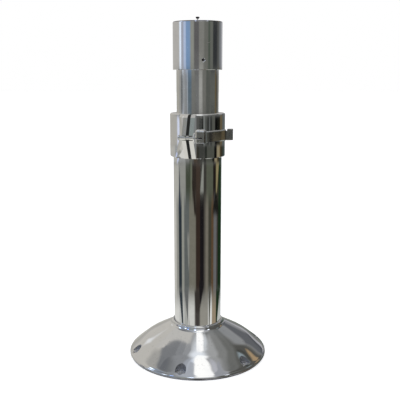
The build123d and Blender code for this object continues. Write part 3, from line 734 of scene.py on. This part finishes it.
def shade_base(me):
    """exact normals: the smooth outline's own on the cast surface, the walls' own in the holes"""
    segs = []
    for (r0, z0), (r1, z1) in zip(smooth, smooth[1:]):
        d = hypot(r1 - r0, z1 - z0)
        segs.append(((z0 - z1) / d, (r1 - r0) / d))
    point_n = []
    for i in range(len(smooth)):
        a, b = segs[max(i - 1, 0)], segs[min(i, len(segs) - 1)]
        # the outline runs outwards over the top, so its left side is up
        n = (a[0] + b[0], a[1] + b[1])
        l = hypot(*n)
        point_n.append((n[0] / l, n[1] / l))
    cache = {}

    def outline_normal(r, z):
        key = (round(r, 2), round(z, 2))
        if key in cache:
            return cache[key]
        best = None
        for i in range(len(smooth) - 1):
            (r0, z0), (r1, z1) = smooth[i], smooth[i + 1]
            dr, dz = r1 - r0, z1 - z0
            u = max(0.0, min(1.0, ((r - r0) * dr + (z - z0) * dz) / (dr * dr + dz * dz)))
            e = (r - r0 - u * dr) ** 2 + (z - z0 - u * dz) ** 2
            if best is None or e < best[0]:
                a, b = point_n[i], point_n[i + 1]
                best = (e, (a[0] * (1 - u) + b[0] * u, a[1] * (1 - u) + b[1] * u))
        cache[key] = best[1]
        return best[1]

    axes = [(BASE_PCR * sin(radians(CLAMP_AZ + 60 * k)), -BASE_PCR * cos(radians(CLAMP_AZ + 60 * k))) for k in range(BASE_HOLES)]
    normals = [None] * len(me.loops)
    co = [(v.co.x * 1000, v.co.y * 1000, v.co.z * 1000) for v in me.vertices]
    for p in me.polygons:
        c = p.center * 1000
        fn = p.normal
        rc = hypot(c.x, c.y)
        smooth_here = False
        axis = None
        if abs(fn.z) < 0.05:
            for ax, ay in axes:
                d = hypot(c.x - ax, c.y - ay)
                if abs(d - BASE_CBORE_R) < 0.12 or abs(d - BASE_HOLE_R) < 0.12:
                    axis = (ax, ay)
        if axis is None and rc > 38.2 and not (c.z < 0.3) and not (rc < 93.5 and c.z < 20.5) and not (abs(c.z - BASE_FLOOR) < 0.02 and fn.z > 0.99) \
                and (fn.z > 0.05 or rc > 109.5):
            smooth_here = True
        for li in p.loop_indices:
            x, y, z = co[me.loops[li].vertex_index]
            if axis is not None:
                n = Vector((axis[0] - x, axis[1] - y, 0)).normalized()
            elif smooth_here:
                r = hypot(x, y)
                nr, nz = outline_normal(r, z)
                n = Vector((x / r * nr, y / r * nr, nz)).normalized()
            else:
                n = fn
            normals[li] = (n.x, n.y, n.z)
    for p in me.polygons:
        p.use_smooth = True
    me.normals_split_custom_set(normals)


shade_base(base_ob.data)


def cast_material():
    m, gr, p = material("base_cast")
    p.inputs["Metallic"].default_value = 1.0
    pos, ang, rad, z = place(gr)
    smear = gr.noise(pos, 18.0, 3.0, 0.55, 0.6)
    fine = gr.noise(pos, 240.0, 3.0, 0.6)
    arcs = gr.noise(gr.combine(gr.math("MULTIPLY", ang, 1.5), 0.0, gr.math("MULTIPLY", rad, 900.0)), 1.0, 2.0, 0.6)
    base = gr.mix(gr.remap(smear, 0.35, 0.65, 0.0, 1.0), (0.82, 0.825, 0.83, 1), (0.88, 0.88, 0.875, 1))
    # polishing haze: specks of slightly darker metal
    base = gr.mix(gr.remap(fine, 0.58, 0.72, 0.0, 0.35), base, (0.62, 0.62, 0.62, 1))
    # distance from the nearest bolt hole's axis
    fold = gr.math("WRAP", gr.math("SUBTRACT", ang, radians(CLAMP_AZ - 90.0)), pi / 6, -pi / 6)
    lx = gr.math("SUBTRACT", gr.math("MULTIPLY", rad, gr.math("COSINE", fold)), BASE_PCR / 1000.0)
    ly = gr.math("MULTIPLY", rad, gr.math("SINE", fold))
    dist = gr.math("SQRT", gr.math("ADD", gr.math("MULTIPLY", lx, lx), gr.math("MULTIPLY", ly, ly)))
    geo = gr.add("ShaderNodeNewGeometry")
    gs = gr.add("ShaderNodeSeparateXYZ")
    gr.put(gs.inputs[0], geo.outputs["True Normal"])
    upright = gr.remap(gr.math("ABSOLUTE", gs.outputs[2]), 0.03, 0.1, 1.0, 0.0)
    near = gr.remap(dist, 0.0086, 0.0087, 1.0, 0.0)
    wall = gr.math("MULTIPLY", upright, near)
    flat = gr.remap(gs.outputs[2], 0.995, 0.999, 0.0, 1.0)
    low = gr.remap(gr.math("ABSOLUTE", gr.math("SUBTRACT", z, BASE_FLOOR / 1000.0)), 0.00005, 0.0001, 1.0, 0.0)
    floor_f = gr.math("MULTIPLY", gr.math("MULTIPLY", flat, low), near)
    # painted shade: the walls of the spot faces and bolt holes are darkened, and made rougher and less metallic
    base = gr.mix(wall, base, (0.30, 0.305, 0.33, 1))
    gr.put(p.inputs["Metallic"], gr.remap(wall, 0.0, 1.0, 1.0, 0.25))
    # the spot-face floors are painted lighter, with a painted shade crescent on their outer side
    front_side = gr.math("MULTIPLY", gr.remap(lx, 0.0026, 0.0034, 0.0, 1.0), gr.remap(gr.math("ABSOLUTE", ly), 0.0030, 0.0046, 1.0, 0.0))
    base = gr.mix(floor_f, base, gr.mix(front_side, (1.0, 1.0, 1.0, 1), (0.10, 0.10, 0.12, 1)))
    # painted shade: a dark crescent on the cast surface just outside each hole, below the spot-face floor
    lip = gr.math("MULTIPLY", gr.math("MULTIPLY", gr.remap(dist, 0.0052, 0.0066, 1.0, 0.0), gr.remap(z, 0.0092, 0.0086, 0.0, 1.0)), gr.remap(upright, 0.4, 0.6, 1.0, 0.0))
    base = gr.mix(gr.math("MULTIPLY", lip, 0.75), base, (0.22, 0.22, 0.24, 1))
    # painted light and shade: the bolt holes' walls are near white high up and near black deeper down
    bore = gr.math("MULTIPLY", upright, gr.remap(dist, 0.0034, 0.0036, 1.0, 0.0))
    deep = gr.remap(z, 0.002, 0.006, 0.0, 1.0)
    base = gr.mix(bore, base, gr.mix(deep, (0.03, 0.03, 0.035, 1), (0.96, 0.96, 0.97, 1)))
    # painted shade: the foot of the rim is darkened to a navy tone where the rim meets the deck
    base = gr.mix(gr.remap(z, 0.0014, 0.0047, 0.95, 0.0), base, (0.07, 0.085, 0.15, 1))
    gr.put(p.inputs["Base Color"], base)
    rough = gr.math("ADD", gr.remap(smear, 0.3, 0.7, 0.035, 0.07), gr.math("MULTIPLY", gr.remap(fine, 0.5, 0.75, 0.0, 1.0), 0.05))
    rough = gr.math("ADD", rough, gr.math("MULTIPLY", gr.math("ADD", wall, floor_f), 0.38))
    gr.put(p.inputs["Roughness"], rough)
    h = gr.math("ADD", gr.math("MULTIPLY", fine, 0.5), gr.math("MULTIPLY", arcs, 0.5))
    bump(gr, p, h, 0.0000012)
    return m


base_ob.data.materials.clear()
base_ob.data.materials.append(cast_material())
for p in base_ob.data.polygons:
    p.material_index = 0
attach(base_ob, "base")
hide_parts("base_flange")

# ---------------------------------------------------------------------------
# the mirrors of the pieces in each other: the room's own reflections are the ones that show
# ---------------------------------------------------------------------------
for o in nodes.values():
    o.visible_glossy = False

# ---------------------------------------------------------------------------
# floor
# ---------------------------------------------------------------------------
bm = bmesh.new()
bmesh.ops.create_grid(bm, x_segments=2, y_segments=2, size=12.0)
me = bpy.data.meshes.new("floor")
bm.to_mesh(me)
bm.free()
floor = bpy.data.objects.new("floor", me)
scene.collection.objects.link(floor)
floor.location = (0, 0, -0.0002)
fm, fg, fp = material("pale_floor")
fp.inputs["Base Color"].default_value = (0.9, 0.9, 0.9, 1)
fp.inputs["Roughness"].default_value = 0.9
fp.inputs["Specular IOR Level"].default_value = 0.0
fp.inputs["Emission Color"].default_value = (1, 1, 1, 1)
fp.inputs["Emission Strength"].default_value = 0.78
me.materials.append(fm)
floor.visible_glossy = False
floor.visible_diffuse = False

# ---------------------------------------------------------------------------
# camera
# ---------------------------------------------------------------------------
cam_data = bpy.data.cameras.new("camera")
cam = bpy.data.objects.new("camera", cam_data)
scene.collection.objects.link(cam)
cam.location = (0.0, -1.00998, 0.46307)
cam.rotation_euler = (radians(90 - 11.54), 0, 0)
cam_data.sensor_width = 36.0
cam_data.sensor_fit = "HORIZONTAL"
cam_data.lens = 57.88
cam_data.shift_x = 0.006
cam_data.clip_start = 0.01
cam_data.clip_end = 100.0
scene.camera = cam

scene.view_settings.view_transform = "Standard"
scene.view_settings.look = "None"
scene.view_settings.exposure = 0.0
scene.view_settings.gamma = 1.0
scene.cycles.max_bounces = 12
scene.cycles.glossy_bounces = 8
